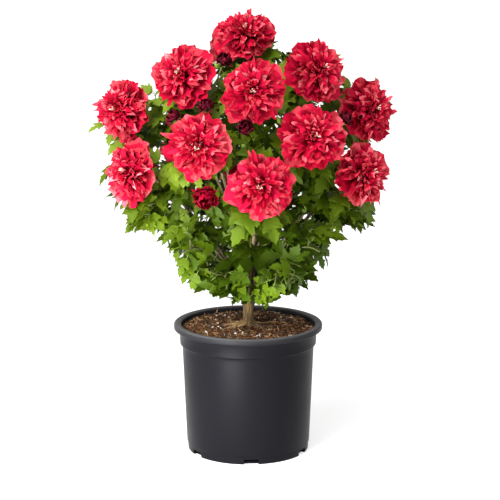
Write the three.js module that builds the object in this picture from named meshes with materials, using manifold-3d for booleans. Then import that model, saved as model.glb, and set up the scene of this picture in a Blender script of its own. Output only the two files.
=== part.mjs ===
// A hibiscus shrub with double red blooms, a rose of Sharon, in a round nursery pot.
// Millimetres, +Z up, front towards -Y. The origin is the centre of the pot's flat underside.
// Bearings are in degrees, anticlockwise from +X seen from above, so 270 is the front.

import * as THREE from 'three';
import { mergeVertices } from 'three/addons/utils/BufferGeometryUtils.js';
import Module from 'manifold-3d';

const wasm = await Module();
wasm.setup();

const gap = 0.3; // between neighbouring solids
const weld = 1e-3; // vertices nearer than this count as one

const pot = {
  height: 200, rimRadius: 114.5, lipDepth: 9, lipRoll: 3,
  collarRadius: 105, collarFoot: 168, shoulderRadius: 101.5,
  footRadius: 94.7, footDepth: 12, footStep: 1.1,
  wall: 2.2, floor: 3, segments: 32,
  notches: 6, notchBearing: 273, notchWidth: 22, notchHeight: 8, notchReach: 8,
};
const soil = { edge: 190, top: 195, padRadius: 30, rings: 5, lump: 2.4, segments: 24 };
const trunk = { radius: 8.5, tipRadius: 4.4, tip: 336, flare: 9, flareHeight: 11, lean: 3, sides: 10 };
const fork = {
  lowest: 247, highest: 326, bloomLow: 438, bloomHigh: 630, backDrop: 6,
  steeper: 8, steepest: 62, launchShare: 0.36, calyxShare: 0.26,
};
const bough = { radius: 3.1, tipRadius: 2.3, share: 0.32, sides: 5, rings: 5 };
const stem = { endRadius: 1.7, sides: 4, rings: 4, spacing: 21, bareFoot: 30, bareEnd: 10, bareTip: 3 };
const twig = {
  radius: 1.5, endRadius: 0.8, length: 50, spacing: 22, lift: 34, rise: 0.12,
  bareEnd: 4, sideLeaf: 0.95, endLeaf: 0.9, trials: 4, shorter: 0.85,
};
const leaf = {
  length: 78, least: 0.78, hub: 0.55, thickness: 1.4, roll: 0.7, droop: 0.5, forward: 0.7, outward: 1.2,
  root: 9, apart: 8, trials: 5, smaller: 0.87,
};
const bloom = { radius: 49, depth: 26, domeRadius: 39, segments: 10, ruffle: 4 };
const budTwig = { from: 0.74, sag: 0.1, radius: 1.3 };
const bud = { length: 23, radius: 8 };
const opening = { length: 27, radius: 13 };
const goldenTurn = 137.5;
const spaceMargin = 0.8; // from the middle line between two masses
const limbMargin = 1.3;
const trunkMargin = 3;
const crownFoot = { height: 211, reach: 35, slope: 0.75 }; // no leaf hangs below a cone that opens upwards

// A bloom's middle is at bearing, reach and height; it faces the bearing face, tilted up by tilt.
const frontBlooms = [
  { name: 'crest', bearing: 233, reach: 10, height: 643, face: 265, tilt: 50 },
  { name: 'upper_left', bearing: 225, reach: 135, height: 590, face: 250, tilt: 25,
    buds: [{ bearing: 251, reach: 106, height: 612 }] },
  { name: 'upper_front', bearing: 273, reach: 150, height: 573, face: 270, tilt: 20,
    buds: [{ bearing: 269, reach: 172, height: 525 }] },
  { name: 'upper_right', bearing: 320, reach: 130, height: 595, face: 290, tilt: 25 },
  { name: 'side_left', bearing: 186, reach: 189, height: 531, face: 235, tilt: 15 },
  { name: 'side_right', bearing: 354, reach: 182, height: 531, face: 308, tilt: 15 },
  { name: 'middle_left', bearing: 248, reach: 186, height: 499, face: 262, tilt: 15,
    buds: [{ bearing: 233, reach: 175, height: 535 }, { bearing: 249, reach: 165, height: 552 }],
    opening: { bearing: 251, reach: 185, height: 425 } },
  { name: 'middle_right', bearing: 300, reach: 184, height: 509, face: 280, tilt: 15,
    buds: [{ bearing: 322, reach: 178, height: 528 }] },
  { name: 'low_left', bearing: 203, reach: 189, height: 444, face: 232, tilt: 12 },
  { name: 'low_right', bearing: 334, reach: 189, height: 444, face: 308, tilt: 12 },
  { name: 'low_front', bearing: 276, reach: 188, height: 443, face: 272, tilt: 10 },
];

// The back of the crown carries the same, in rings that lie behind the blooms of the front.
const backRings = [
  { name: 'crest_back', bearings: [101], reach: 80, height: 626, tilt: 38 },
  { name: 'upper_back', bearings: [43, 135], reach: 146, height: 576, tilt: 25 },
  { name: 'centre_back', bearings: [90], reach: 162, height: 543, tilt: 20 },
  { name: 'middle_back', bearings: [58, 120], reach: 186, height: 458, tilt: 15 },
  { name: 'low_back', bearings: [24, 90, 155], reach: 187, height: 398, tilt: 12 },
];

// Leafy shoots without blooms hang round the crown's foot; their stems leave the trunk itself.
const skirt = {
  low: 225, high: 233, radius: 2.6, endRadius: 1.3, spacing: 25,
  launch: 52, launchShare: 0.42, hang: -24, hangShare: 0.3,
  shoots: [
    { bearing: 192, reach: 155, height: 388 }, { bearing: 228, reach: 142, height: 330 },
    { bearing: 250, reach: 100, height: 292 }, { bearing: 272, reach: 108, height: 340 },
    { bearing: 294, reach: 112, height: 300 }, { bearing: 318, reach: 142, height: 330 },
    { bearing: 349, reach: 155, height: 388 }, { bearing: 42, reach: 130, height: 330 },
    { bearing: 88, reach: 130, height: 310 }, { bearing: 136, reach: 132, height: 334 },
  ],
};

const colours = {
  plastic: 0x26272b, soil: 0x46301f, trunk: 0xa07a4c, bough: 0x86683f, foliage: 0x567a2c, bloomed: 0xb01636,
};

const up = new THREE.Vector3(0, 0, 1);
const radians = THREE.MathUtils.degToRad;

// ---- places and draws

function polar(bearing, reach, height) {
  return new THREE.Vector3(reach * Math.cos(radians(bearing)), reach * Math.sin(radians(bearing)), height);
}

function direction(bearing, tilt) {
  return polar(bearing, Math.cos(radians(tilt)), Math.sin(radians(tilt)));
}

function moved(point, way, distance) {
  return point.clone().addScaledVector(way, distance);
}

// The Park-Miller generator, so that the same plant grows wherever the rule is written again.
function generator(start) {
  let state = (start * 7919 + 104729) % 2147483647;
  return () => {
    state = (state * 16807) % 2147483647;
    return state / 2147483647;
  };
}

function squareTo(way, wanted) {
  return wanted.clone().addScaledVector(way, -wanted.dot(way)).normalize();
}

// A direction square to way, at an angle round it; 0 is the highest.
function around(way, angle) {
  const reference = Math.abs(way.z) > 0.98 ? new THREE.Vector3(0, -1, 0) : up;
  const high = squareTo(way, reference);
  const side = way.clone().cross(high);
  return high.multiplyScalar(Math.cos(radians(angle))).addScaledVector(side, Math.sin(radians(angle)));
}

// ---- solids

function solidOf(geometry) {
  geometry.deleteAttribute('normal');
  geometry.deleteAttribute('uv');
  const merged = mergeVertices(geometry, 1e-4);
  const vertProperties = new Float32Array(merged.attributes.position.array);
  const triVerts = new Uint32Array(merged.index.array);
  return new wasm.Manifold(new wasm.Mesh({ numProp: 3, vertProperties, triVerts }));
}

function geometryOf(solid) {
  const { vertProperties, triVerts } = solid.getMesh();
  const geometry = new THREE.BufferGeometry();
  geometry.setAttribute('position', new THREE.BufferAttribute(new Float32Array(vertProperties), 3));
  geometry.setIndex(new THREE.BufferAttribute(new Uint32Array(triVerts), 1));
  geometry.computeVertexNormals();
  return geometry;
}

// One closed body with no sealed hollow, also once its nearest vertices are merged: then every
// face still has three corners, and every edge still has two faces.
function isSound(solid) {
  if (solid.decompose().length !== 1 || solid.volume() < 0) return false;
  const merged = mergeVertices(geometryOf(solid).deleteAttribute('normal'), weld);
  const corners = merged.index.array;
  const edges = new Map();
  for (let i = 0; i < corners.length; i += 3) {
    const face = [corners[i], corners[i + 1], corners[i + 2]];
    if (new Set(face).size < 3) return false;
    face.forEach((corner, k) => {
      const next = face[(k + 1) % 3];
      const edge = `${Math.min(corner, next)} ${Math.max(corner, next)}`;
      edges.set(edge, (edges.get(edge) ?? 0) + 1);
    });
  }
  return [...edges.values()].every((faces) => faces === 2);
}

// What would leave a scrap or seal a hollow isn't taken up.
function joined(solids) {
  return solids.reduce((whole, solid) => {
    const wider = whole.add(solid);
    return isSound(wider) ? wider : whole;
  });
}

// A round limb through its stations, each with a place and a radius that may vary round it.
function sweep(stations, sides) {
  const geometry = new THREE.CylinderGeometry(1, 1, 1, sides, stations.length - 1);
  const last = stations.length - 1;
  let normal = null;
  const frames = stations.map(({ at }, i) => {
    const before = stations[Math.max(i - 1, 0)].at;
    const after = stations[Math.min(i + 1, last)].at;
    const way = after.clone().sub(before).normalize();
    normal = normal ? squareTo(way, normal) : around(way, 0);
    return { at, normal, binormal: way.clone().cross(normal) };
  });
  const position = geometry.attributes.position;
  for (let i = 0; i < position.count; i += 1) {
    const station = Math.round((position.getY(i) + 0.5) * last);
    const across = position.getX(i);
    const along = -position.getZ(i);
    const { radius } = stations[station];
    const size = typeof radius === 'function' ? radius(Math.atan2(along, across)) : radius;
    const { at, normal: n, binormal: b } = frames[station];
    const place = moved(moved(at, n, across * size), b, along * size);
    position.setXYZ(i, place.x, place.y, place.z);
  }
  return solidOf(geometry);
}

function taper(curve, from, to, rings, radiusFrom, radiusTo) {
  return Array.from({ length: rings + 1 }, (_, i) => ({
    at: curve.getPoint(from + (to - from) * (i / rings)),
    radius: radiusFrom + (radiusTo - radiusFrom) * (i / rings),
  }));
}

// A leaf's three-lobed outline: [along, across, lift] as shares of its length, round from the root.
const leafOutline = [
  [0, 0, 0], [0.4, -0.37, -0.02], [0.6, -0.2, -0.01], [1, 0, -0.1], [0.6, 0.2, -0.01], [0.4, 0.37, -0.02],
];

function bladePoint({ root, way, normal }, length, [along, across, lift]) {
  const side = normal.clone().cross(way);
  return moved(moved(moved(root, way, along * length), side, across * length), normal, lift * length);
}

// The leaf is domed to its full thickness over a hub on the midrib, and flat underneath.
function blade(frame, length) {
  const hub = moved(bladePoint(frame, length, [leaf.hub, 0, 0]), frame.normal, leaf.thickness);
  const rim = leafOutline.map((place) => bladePoint(frame, length, place));
  const top = rim.flatMap((_, i) => [rim.length, i, (i + 1) % rim.length]);
  const underside = [0, 5, 1, 1, 5, 4, 1, 4, 2, 2, 4, 3];
  const geometry = new THREE.BufferGeometry().setFromPoints([...rim, hub]);
  geometry.setIndex([...top, ...underside]);
  return solidOf(geometry);
}

// Places on the leaf that are tested for room.
function bladePoints(frame, length) {
  const inside = [[0.3, 0, 0], [0.5, 0, 0], [0.75, 0, 0], [0.5, 0.18, 0], [0.5, -0.18, 0]];
  return [...leafOutline, ...inside].map((place) => bladePoint(frame, length, place));
}

// ---- pot and soil

function lathed(profile, segments) {
  const points = profile.map(([x, y]) => new THREE.Vector2(x, y));
  return new THREE.LatheGeometry(points, segments).rotateX(Math.PI / 2);
}

function potSolid() {
  const lipFoot = pot.height - pot.lipDepth;
  const slope = (pot.shoulderRadius - pot.footRadius) / pot.collarFoot;
  const wallAt = (z) => pot.footRadius + slope * z;
  const profile = [
    [0, 0], [pot.footRadius - pot.footStep, 0],
    [wallAt(pot.footDepth) - pot.footStep, pot.footDepth], [wallAt(pot.footDepth), pot.footDepth + 1],
    [pot.shoulderRadius, pot.collarFoot - 3], [pot.collarRadius, pot.collarFoot],
    [pot.collarRadius + 0.8, lipFoot], [pot.rimRadius - 1, lipFoot + 0.5],
    [pot.rimRadius, pot.height - pot.lipRoll], [pot.rimRadius - 2.5, pot.height],
    [pot.collarRadius + 2, pot.height - 0.6], [pot.collarRadius - pot.wall, lipFoot - 1],
    [pot.collarRadius - pot.wall, pot.collarFoot + 1], [pot.shoulderRadius - pot.wall, pot.collarFoot - 2],
    [pot.footRadius - pot.footStep - pot.wall, pot.floor], [0, pot.floor],
  ];
  let body = solidOf(lathed(profile, pot.segments));
  for (let i = 0; i < pot.notches; i += 1) {
    const notch = new THREE.BoxGeometry(2 * pot.notchReach, pot.notchWidth, 2 * pot.notchHeight);
    notch.translate(pot.footRadius, 0, 0).rotateZ(radians(pot.notchBearing + (360 / pot.notches) * i));
    body = body.subtract(solidOf(notch));
  }
  return body;
}

function soilSolid() {
  const clear = pot.wall + 2 * gap;
  const edge = pot.collarRadius - clear - 0.4;
  const profile = [
    [0, pot.floor + gap], [pot.footRadius - pot.footStep - clear - 0.2, pot.floor + gap],
    [pot.shoulderRadius - clear, pot.collarFoot - 2],
    [edge, pot.collarFoot + 2], [edge, soil.edge],
  ];
  for (let i = 1; i <= soil.rings; i += 1) {
    const share = i / soil.rings;
    const radius = edge + (soil.padRadius - edge) * share;
    profile.push([radius, soil.edge + (soil.top - soil.edge) * Math.sin(share * Math.PI / 2)]);
  }
  profile.push([0, soil.top]);
  const geometry = lathed(profile, soil.segments);
  const position = geometry.attributes.position;
  for (let i = 0; i < position.count; i += 1) {
    const radius = Math.hypot(position.getX(i), position.getY(i));
    if (position.getZ(i) > soil.edge + 0.1 && radius > soil.padRadius + 1) {
      const turn = Math.atan2(position.getY(i), position.getX(i)) / (2 * Math.PI) + 1;
      const place = Math.round(turn * soil.segments) % soil.segments;
      const wave = Math.sin(place * 2.39 + radius * 0.7) * Math.cos(place * 1.31 - radius * 0.4);
      position.setZ(i, position.getZ(i) + soil.lump * wave);
    }
  }
  return solidOf(geometry);
}

// ---- trunk and boughs

const ground = soil.top + gap;

function trunkCentre(z) {
  const rise = (z - ground) / (trunk.tip - ground);
  return new THREE.Vector3(trunk.lean * rise * rise, -trunk.lean * 0.6 * Math.sin(rise * Math.PI), z);
}

function trunkRadius(z) {
  const rise = (z - ground) / (trunk.tip - ground);
  return trunk.radius + (trunk.tipRadius - trunk.radius) * rise;
}

// The root flare spreads in five toes that die out a little above the soil.
function trunkSolid(grown) {
  const heights = [0, 1.5, 5, trunk.flareHeight, 18, 30, 50, 75, 100, 120].map((h) => ground + h);
  const stations = [...heights, trunk.tip + grown].map((z) => {
    const spread = trunk.flare * Math.max(0, 1 - (z - ground) / trunk.flareHeight) ** 2;
    const centre = z < ground + 2 ? new THREE.Vector3(0, 0, z) : trunkCentre(z);
    return {
      at: centre,
      radius: (angle) => trunkRadius(z) + grown + spread * (0.55 + 0.45 * Math.cos(5 * angle + 0.6)),
    };
  });
  return sweep(stations, trunk.sides);
}

// High blooms fork off high; those that face back fork a little lower than their front neighbours.
function forkHeight({ height, bearing }) {
  const share = (height - fork.bloomLow) / (fork.bloomHigh - fork.bloomLow);
  const back = bearing < 180 ? fork.backDrop : 0;
  return fork.lowest + (fork.highest - fork.lowest) * Math.min(Math.max(share, 0), 1) - back;
}

// A flowering shoot rises steeply from the trunk and arches out to the back of its bloom.
function floweringPath(shoot) {
  const middle = polar(shoot.bearing, shoot.reach, shoot.height);
  const way = direction(shoot.face, shoot.tilt);
  const calyx = moved(middle, way, -bloom.depth);
  const fromTip = shoot.name === 'crest';
  const start = trunkCentre(fromTip ? trunk.tip + gap : forkHeight(shoot));
  const chord = calyx.clone().sub(start);
  const length = chord.length();
  const slant = THREE.MathUtils.radToDeg(Math.atan2(chord.z, Math.hypot(chord.x, chord.y)));
  const heading = THREE.MathUtils.radToDeg(Math.atan2(chord.y, chord.x));
  const launch = fromTip ? up : direction(heading, Math.min(slant + fork.steeper, fork.steepest));
  const curve = new THREE.CubicBezierCurve3(
    start, moved(start, launch, length * fork.launchShare),
    moved(calyx, way, -length * fork.calyxShare), calyx);
  return { curve, length: curve.getLength(), middle, way };
}

function skirtPath(shoot, index) {
  const start = trunkCentre(index % 2 ? skirt.high : skirt.low);
  const end = polar(shoot.bearing, shoot.reach, shoot.height);
  const length = end.distanceTo(start);
  const curve = new THREE.CubicBezierCurve3(
    start, moved(start, direction(shoot.bearing, skirt.launch), length * skirt.launchShare),
    moved(end, direction(shoot.bearing, skirt.hang), -length * skirt.hangShare), end);
  return { curve, length: curve.getLength(), middle: end, way: direction(shoot.bearing, 0) };
}

// ---- the plant's plan: every shoot with its path, its place in the crown and its seed

function plannedShoots() {
  const backBlooms = backRings.flatMap(({ name, bearings, reach, height, tilt }) =>
    bearings.map((bearing, i) => ({
      name: bearings.length > 1 ? `${name}_${i + 1}` : name, bearing, reach, height, face: bearing, tilt,
    })));
  const blooms = [...frontBlooms, ...backBlooms].map((shoot, i) => ({
    ...shoot, ...floweringPath(shoot),
    seed: i + 1, blooms: true, from: bough.share, radius: bough.tipRadius,
  }));
  const leafy = skirt.shoots.map((shoot, i) => ({
    name: `skirt_${i + 1}`, ...shoot, ...skirtPath(shoot, i),
    seed: 101 + i, blooms: false, from: 0, radius: skirt.radius,
  }));
  return [...blooms, ...leafy];
}

const shoots = plannedShoots();

// A shoot as a chain of balls: its bough, its leafy stem and its bloom.
function ballsOf(shoot) {
  const steps = Math.ceil(shoot.length / 5);
  const chain = Array.from({ length: steps + 1 }, (_, i) => ({
    at: shoot.curve.getPoint(i / steps), radius: shoot.radius, share: i / steps,
  }));
  const limb = chain.filter(({ share }) => share < shoot.from)
    .map((ball) => ({ ...ball, radius: bough.radius }));
  const mass = chain.filter(({ share }) => share >= shoot.from);
  if (shoot.blooms) mass.push({ at: shoot.middle, radius: bloom.radius });
  return { limb, mass };
}

const chains = shoots.map(ballsOf);

function distanceTo(balls, point) {
  return balls.reduce((least, { at, radius }) => Math.min(least, point.distanceTo(at) - radius), Infinity);
}

// A mass holds what lies nearer to its own stem and bloom than to any other's, clear of every bough.
function inOwnSpace(point, owner) {
  const own = distanceTo(chains[owner].mass, point);
  return chains.every(({ limb, mass }, i) =>
    distanceTo(limb, point) > limbMargin
    && (i === owner || distanceTo(mass, point) > Math.max(own + 2 * spaceMargin, limbMargin)));
}

function clearOfFoot(point) {
  const centre = trunkCentre(Math.min(point.z, trunk.tip));
  const beyond = Math.max(Math.hypot(point.x, point.y) - crownFoot.reach, 0);
  return point.z > crownFoot.height + crownFoot.slope * beyond
    && point.distanceTo(centre) > trunk.radius + trunkMargin;
}

function free(points, owner) {
  return points.every((point) => clearOfFoot(point) && inOwnSpace(point, owner));
}

// ---- foliage

// What one mass has grown so far, and the draws it grows by.
function startMass(owner) {
  return { owner, draw: generator(shoots[owner].seed), solids: [], taken: [] };
}

// A leaf that finds no room at its turn tries the next ones, each a little smaller.
function growLeaf(mass, joint, way, turn, size) {
  const length = leaf.length * (leaf.least + (1 - leaf.least) * mass.draw()) * size;
  const roll = (mass.draw() - 0.5) * leaf.roll;
  const hang = leaf.droop * (0.6 + 0.8 * mass.draw());
  const heart = shoots[mass.owner];
  for (let trial = 0; trial < leaf.trials; trial += 1) {
    const out = around(way, turn + goldenTurn * trial);
    const along = out.addScaledVector(way, leaf.forward).addScaledVector(up, -hang).normalize();
    const flat = squareTo(along, moved(up, heart.way, leaf.outward));
    const normal = flat.addScaledVector(along.clone().cross(flat), roll).normalize();
    const frame = { root: joint, way: along, normal };
    const reach = length * leaf.smaller ** trial;
    const outer = bladePoints(frame, reach).filter((point) => point.distanceTo(joint) > leaf.root);
    const inBloom = heart.blooms
      && outer.some((point) => point.distanceTo(heart.middle) < bloom.domeRadius);
    const crowded = mass.taken.some((other) =>
      outer.some((point) => point.distanceTo(other) < leaf.apart));
    if (!inBloom && !crowded && free(outer, mass.owner)) {
      mass.taken.push(...outer);
      mass.solids.push(blade(frame, reach));
      return;
    }
  }
}

// A side twig sets off outwards and a little up, and carries leaves by the golden turn.
function growTwig(mass, joint, way, turn) {
  const wanted = twig.length * (0.75 + 0.5 * mass.draw());
  const heart = shoots[mass.owner];
  const plan = (trial) => {
    const out = around(way, turn + goldenTurn * trial).multiplyScalar(Math.cos(radians(twig.lift)));
    const launch = moved(out, way, Math.sin(radians(twig.lift))).addScaledVector(up, twig.rise).normalize();
    const length = wanted * twig.shorter ** trial;
    return { launch, length };
  };
  const fits = ({ launch, length }) => {
    const points = [0.35, 0.55, 0.8, 1, 1.12].map((share) => moved(joint, launch, share * length));
    const hits = heart.blooms && points.some((point) => point.distanceTo(heart.middle) < bloom.domeRadius);
    return !hits && free(points, mass.owner);
  };
  const grown = Array.from({ length: twig.trials }, (_, trial) => plan(trial)).find(fits);
  if (!grown) {
    growLeaf(mass, joint, way, turn, 1);
    return;
  }
  const { launch, length } = grown;
  const tip = moved(joint, launch, length);
  mass.solids.push(sweep([{ at: joint, radius: twig.radius }, { at: tip, radius: twig.endRadius }], 3));
  let leafTurn = 360 * mass.draw();
  for (let along = twig.spacing; along < length - twig.bareEnd; along += twig.spacing) {
    growLeaf(mass, moved(joint, launch, along), launch, leafTurn, twig.sideLeaf);
    leafTurn += goldenTurn;
  }
  growLeaf(mass, moved(tip, launch, -1), launch, leafTurn, twig.endLeaf);
}

// Leaves and side twigs take turns up the stem, from the bare stretch to the bloom or the tip.
function growStem(mass) {
  const shoot = shoots[mass.owner];
  const share = (distance) => distance / shoot.length;
  const first = Math.max(shoot.from + share(stem.bareEnd), share(stem.bareFoot));
  const last = 1 - share(shoot.blooms ? stem.bareEnd : stem.bareTip);
  let turn = 360 * mass.draw();
  let count = 0;
  for (let at = first; at < last; at += share(shoot.blooms ? stem.spacing : skirt.spacing)) {
    const joint = shoot.curve.getPoint(at);
    const way = shoot.curve.getTangent(at);
    if (count % 3 !== 1) growTwig(mass, joint, way, turn);
    else growLeaf(mass, joint, way, turn, 1);
    turn += goldenTurn;
    count += 1;
  }
}

function stemSolid(shoot) {
  const from = shoot.blooms ? shoot.from + gap / shoot.length : 0;
  const end = shoot.blooms ? stem.endRadius : skirt.endRadius;
  return sweep(taper(shoot.curve, from, 1, stem.rings, shoot.radius, end), stem.sides);
}

// ---- blooms and buds

// A bloom is one ruffled body: a cup, a rim of broad guard petals and a dome of crowded petals.
// Its rings, from back to front: radius, rise from the middle, and how deep every other petal dips.
const bloomRings = [
  [0, -bloom.depth - 2, 0, 0], [6, -bloom.depth + 2, 0, 0], [9, -13, 0, 0],
  [bloom.radius, -3, 9, -3], [34, 5, -2, 1], [40, 11, 9, 4],
  [30, 21, -7, -4], [14, 27, 6, -4], [0, 26, 0, 0],
];

function bloomSolid(mass, { way, middle }) {
  const outline = bloomRings.map(([radius, rise]) => new THREE.Vector2(radius, rise));
  const geometry = new THREE.LatheGeometry(outline, bloom.segments);
  const height = around(way, 360 * mass.draw());
  const side = way.clone().cross(height);
  const shift = () => bloom.ruffle * (mass.draw() - 0.5);
  const shifts = bloomRings.flatMap(() => Array.from({ length: bloom.segments }, shift));
  const position = geometry.attributes.position;
  for (let i = 0; i < position.count; i += 1) {
    const ring = i % bloomRings.length;
    const [radius, rise, dip, sink] = bloomRings[ring];
    const segment = Math.floor(i / bloomRings.length) % bloom.segments;
    const angle = (segment / bloom.segments) * 2 * Math.PI;
    const ruffle = ring > 2 && radius > 0 ? shifts[ring * bloom.segments + segment] : 0;
    const size = radius - dip * (segment % 2) + ruffle * 0.6;
    const place = moved(moved(middle, height, size * Math.cos(angle)), side, size * Math.sin(angle));
    place.addScaledVector(way, rise - sink * (segment % 2) + ruffle);
    position.setXYZ(i, place.x, place.y, place.z);
  }
  return solidOf(geometry);
}

// A bud or a half-open bloom stands at the end of its own short twig from the stem.
function budSolids(shoot, place, size) {
  const tip = polar(place.bearing, place.reach, place.height);
  const joint = shoot.curve.getPoint(budTwig.from);
  const away = tip.clone().sub(joint);
  const bend = moved(joint, away, 0.5).addScaledVector(up, -budTwig.sag * away.length());
  const way = tip.clone().sub(bend).normalize();
  const base = moved(tip, way, -size.length / 2);
  const twigSolid = sweep([
    { at: joint, radius: twig.radius }, { at: bend, radius: budTwig.radius },
    { at: moved(base, way, 1), radius: budTwig.radius },
  ], 3);
  const profile = [[0, 2], [0.18, 0.75], [0.5, 1], [0.8, 0.72], [1, 0.16]];
  const stations = profile.map(([along, share]) => ({
    at: moved(base, way, along * size.length), radius: along ? share * size.radius : share,
  }));
  return [twigSolid, sweep(stations, 6)];
}

// ---- assembly

function node(name, solid, color, roughness) {
  const material = new THREE.MeshStandardMaterial({ color, roughness, metalness: 0 });
  const mesh = new THREE.Mesh(geometryOf(solid), material);
  mesh.name = name;
  return mesh;
}

function massSolid(owner) {
  const shoot = shoots[owner];
  const mass = startMass(owner);
  growStem(mass);
  const solids = [shoot.blooms ? stemSolid(shoot) : stemSolid(shoot).subtract(sleeve), ...mass.solids];
  if (shoot.blooms) solids.push(bloomSolid(mass, shoot));
  (shoot.buds ?? []).forEach((place) => solids.push(...budSolids(shoot, place, bud)));
  if (shoot.opening) solids.push(...budSolids(shoot, shoot.opening, opening));
  return joined(solids);
}

function boughSolid(shoot) {
  const stations = taper(shoot.curve, 0, shoot.from, bough.rings, bough.radius, bough.tipRadius);
  const limb = sweep(stations, bough.sides);
  return shoot.name === 'crest' ? limb : limb.subtract(sleeve);
}

const sleeve = trunkSolid(gap); // what every limb's root is cut clear of
const shrub = new THREE.Group();
shrub.add(node('pot', potSolid(), colours.plastic, 0.45));
shrub.add(node('soil', soilSolid(), colours.soil, 0.95));
shrub.add(node('trunk', trunkSolid(0), colours.trunk, 0.8));
shoots.forEach((shoot, owner) => {
  if (shoot.blooms) shrub.add(node(`bough_${shoot.name}`, boughSolid(shoot), colours.bough, 0.8));
  const colour = shoot.blooms ? colours.bloomed : colours.foliage;
  shrub.add(node(`foliage_${shoot.name}`, massSolid(owner), colour, 0.7));
});

export default shrub;
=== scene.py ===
from math import atan2, ceil, cos, degrees, hypot, pi, radians, sin, sqrt

import bpy
import numpy as np
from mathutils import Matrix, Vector, noise
from numpy.linalg import norm


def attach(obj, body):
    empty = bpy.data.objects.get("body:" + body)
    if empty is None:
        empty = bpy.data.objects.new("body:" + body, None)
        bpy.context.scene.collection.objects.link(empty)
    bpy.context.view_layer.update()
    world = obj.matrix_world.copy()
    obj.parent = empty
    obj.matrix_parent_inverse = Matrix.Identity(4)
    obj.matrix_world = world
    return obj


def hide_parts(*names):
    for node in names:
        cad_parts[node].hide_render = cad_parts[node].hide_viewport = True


# A potted hibiscus shrub with double red blooms. Blender works in metres, and the plant's plan is kept in
# millimetres: front is -Y, and bearings run anticlockwise from +X, seen from above.
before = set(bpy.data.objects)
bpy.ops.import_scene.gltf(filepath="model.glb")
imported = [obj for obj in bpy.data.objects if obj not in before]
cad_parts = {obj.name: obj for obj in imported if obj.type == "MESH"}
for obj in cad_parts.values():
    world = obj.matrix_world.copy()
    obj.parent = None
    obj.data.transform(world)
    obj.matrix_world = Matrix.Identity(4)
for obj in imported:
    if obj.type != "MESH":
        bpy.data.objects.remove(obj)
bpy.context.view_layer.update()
mm = 0.001
up = np.array([0.0, 0.0, 1.0])
print("frame loaded:", len(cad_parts), "nodes")


# materials

# a skin: sockets of the shader, then scale, strength and relief of the bump
leafSkin = {"sockets": {"Roughness": 0.48, "Specular_IOR_Level": 0.14}, "bump": (420, 0.3, 0.0008)}
petalSkin = {"sockets": {"Roughness": 0.6, "Specular_IOR_Level": 0.08, "Sheen_Weight": 0.05,
                         "Sheen_Roughness": 0.5, "Sheen_Tint": (1.0, 0.25, 0.3, 1)},
             "bump": (500, 0.4, 0.001)}
barkSkin = {"roughness": 0.8, "stretch": (1, 1, 0.22), "detail": 5, "darkAt": 0.34, "lightAt": 0.62,
            "bump": 0.5, "relief": 0.001}


def shaderOf(made):
    return made.node_tree.nodes["Principled BSDF"]


def fill(node, sockets):
    for socket, value in sockets.items():
        node.inputs[socket.replace("_", " ")].default_value = value


def newMaterial(name, colour=None, **sockets):
    made = bpy.data.materials.new(name)
    made.use_nodes = True
    fill(shaderOf(made), sockets)
    if colour:
        fill(shaderOf(made), {"Base_Color": (*colour, 1)})
    return made


def addNode(made, kind, **sockets):
    node = made.node_tree.nodes.new(kind)
    fill(node, sockets)
    return node


def link(made, source, target):
    made.node_tree.links.new(source, target)


def objectPlace(made, scale=(1, 1, 1)):
    where = addNode(made, "ShaderNodeTexCoord")
    mapping = addNode(made, "ShaderNodeMapping", Scale=scale)
    link(made, where.outputs["Object"], mapping.inputs["Vector"])
    return mapping.outputs["Vector"]


def noiseOf(made, place, scale, detail=3.0):
    grain = addNode(made, "ShaderNodeTexNoise", Scale=scale, Detail=detail)
    link(made, place, grain.inputs["Vector"])
    return grain.outputs["Fac"]


def bumpFrom(made, height, strength, distance):
    bump = addNode(made, "ShaderNodeBump", Strength=strength, Distance=distance)
    link(made, height, bump.inputs["Height"])
    link(made, bump.outputs["Normal"], shaderOf(made).inputs["Normal"])


def rampFrom(made, value, stops):
    ramp = addNode(made, "ShaderNodeValToRGB")
    colours = ramp.color_ramp
    while len(colours.elements) < len(stops):
        colours.elements.new(0.5)
    for element, (at, colour) in zip(colours.elements, stops):
        element.position = at
        element.color = (*colour, 1)
    link(made, value, ramp.inputs["Fac"])
    return ramp.outputs["Color"]


def colourBy(made, colour):
    link(made, colour, shaderOf(made).inputs["Base Color"])


def roughnessBy(made, value, low, high):
    spread = addNode(made, "ShaderNodeMapRange", To_Min=low, To_Max=high)
    link(made, value, spread.inputs["Value"])
    link(made, spread.outputs["Result"], shaderOf(made).inputs["Roughness"])


def skinShade(name, colour, skin, **own):
    scale, strength, relief = skin["bump"]
    made = newMaterial(name, colour, **{**skin["sockets"], **own})
    bumpFrom(made, noiseOf(made, objectPlace(made), scale), strength, relief)
    return made


def leafShade(name, colour):  # a plain colour, with the fine puckering of a leaf's skin
    return skinShade(name, colour, leafSkin)


def petalShade(name, colour, **own):  # a plain colour, velvety and finely crinkled
    return skinShade(name, colour, petalSkin, **own)


def barkFinish(name, dark, light, scale):  # vertical fissures in two browns
    made = newMaterial(name, Roughness=barkSkin["roughness"])
    streaks = noiseOf(made, objectPlace(made, barkSkin["stretch"]), scale, barkSkin["detail"])
    colourBy(made, rampFrom(made, streaks, [(barkSkin["darkAt"], dark), (barkSkin["lightAt"], light)]))
    bumpFrom(made, streaks, barkSkin["bump"], barkSkin["relief"])
    return made


def shadesBy(finish, colours, **own):  # one material for each colour, under the colour's name
    return {name: finish(name, colour, **own) for name, colour in colours.items()}


# the plant's plan, in millimetres and degrees

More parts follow.
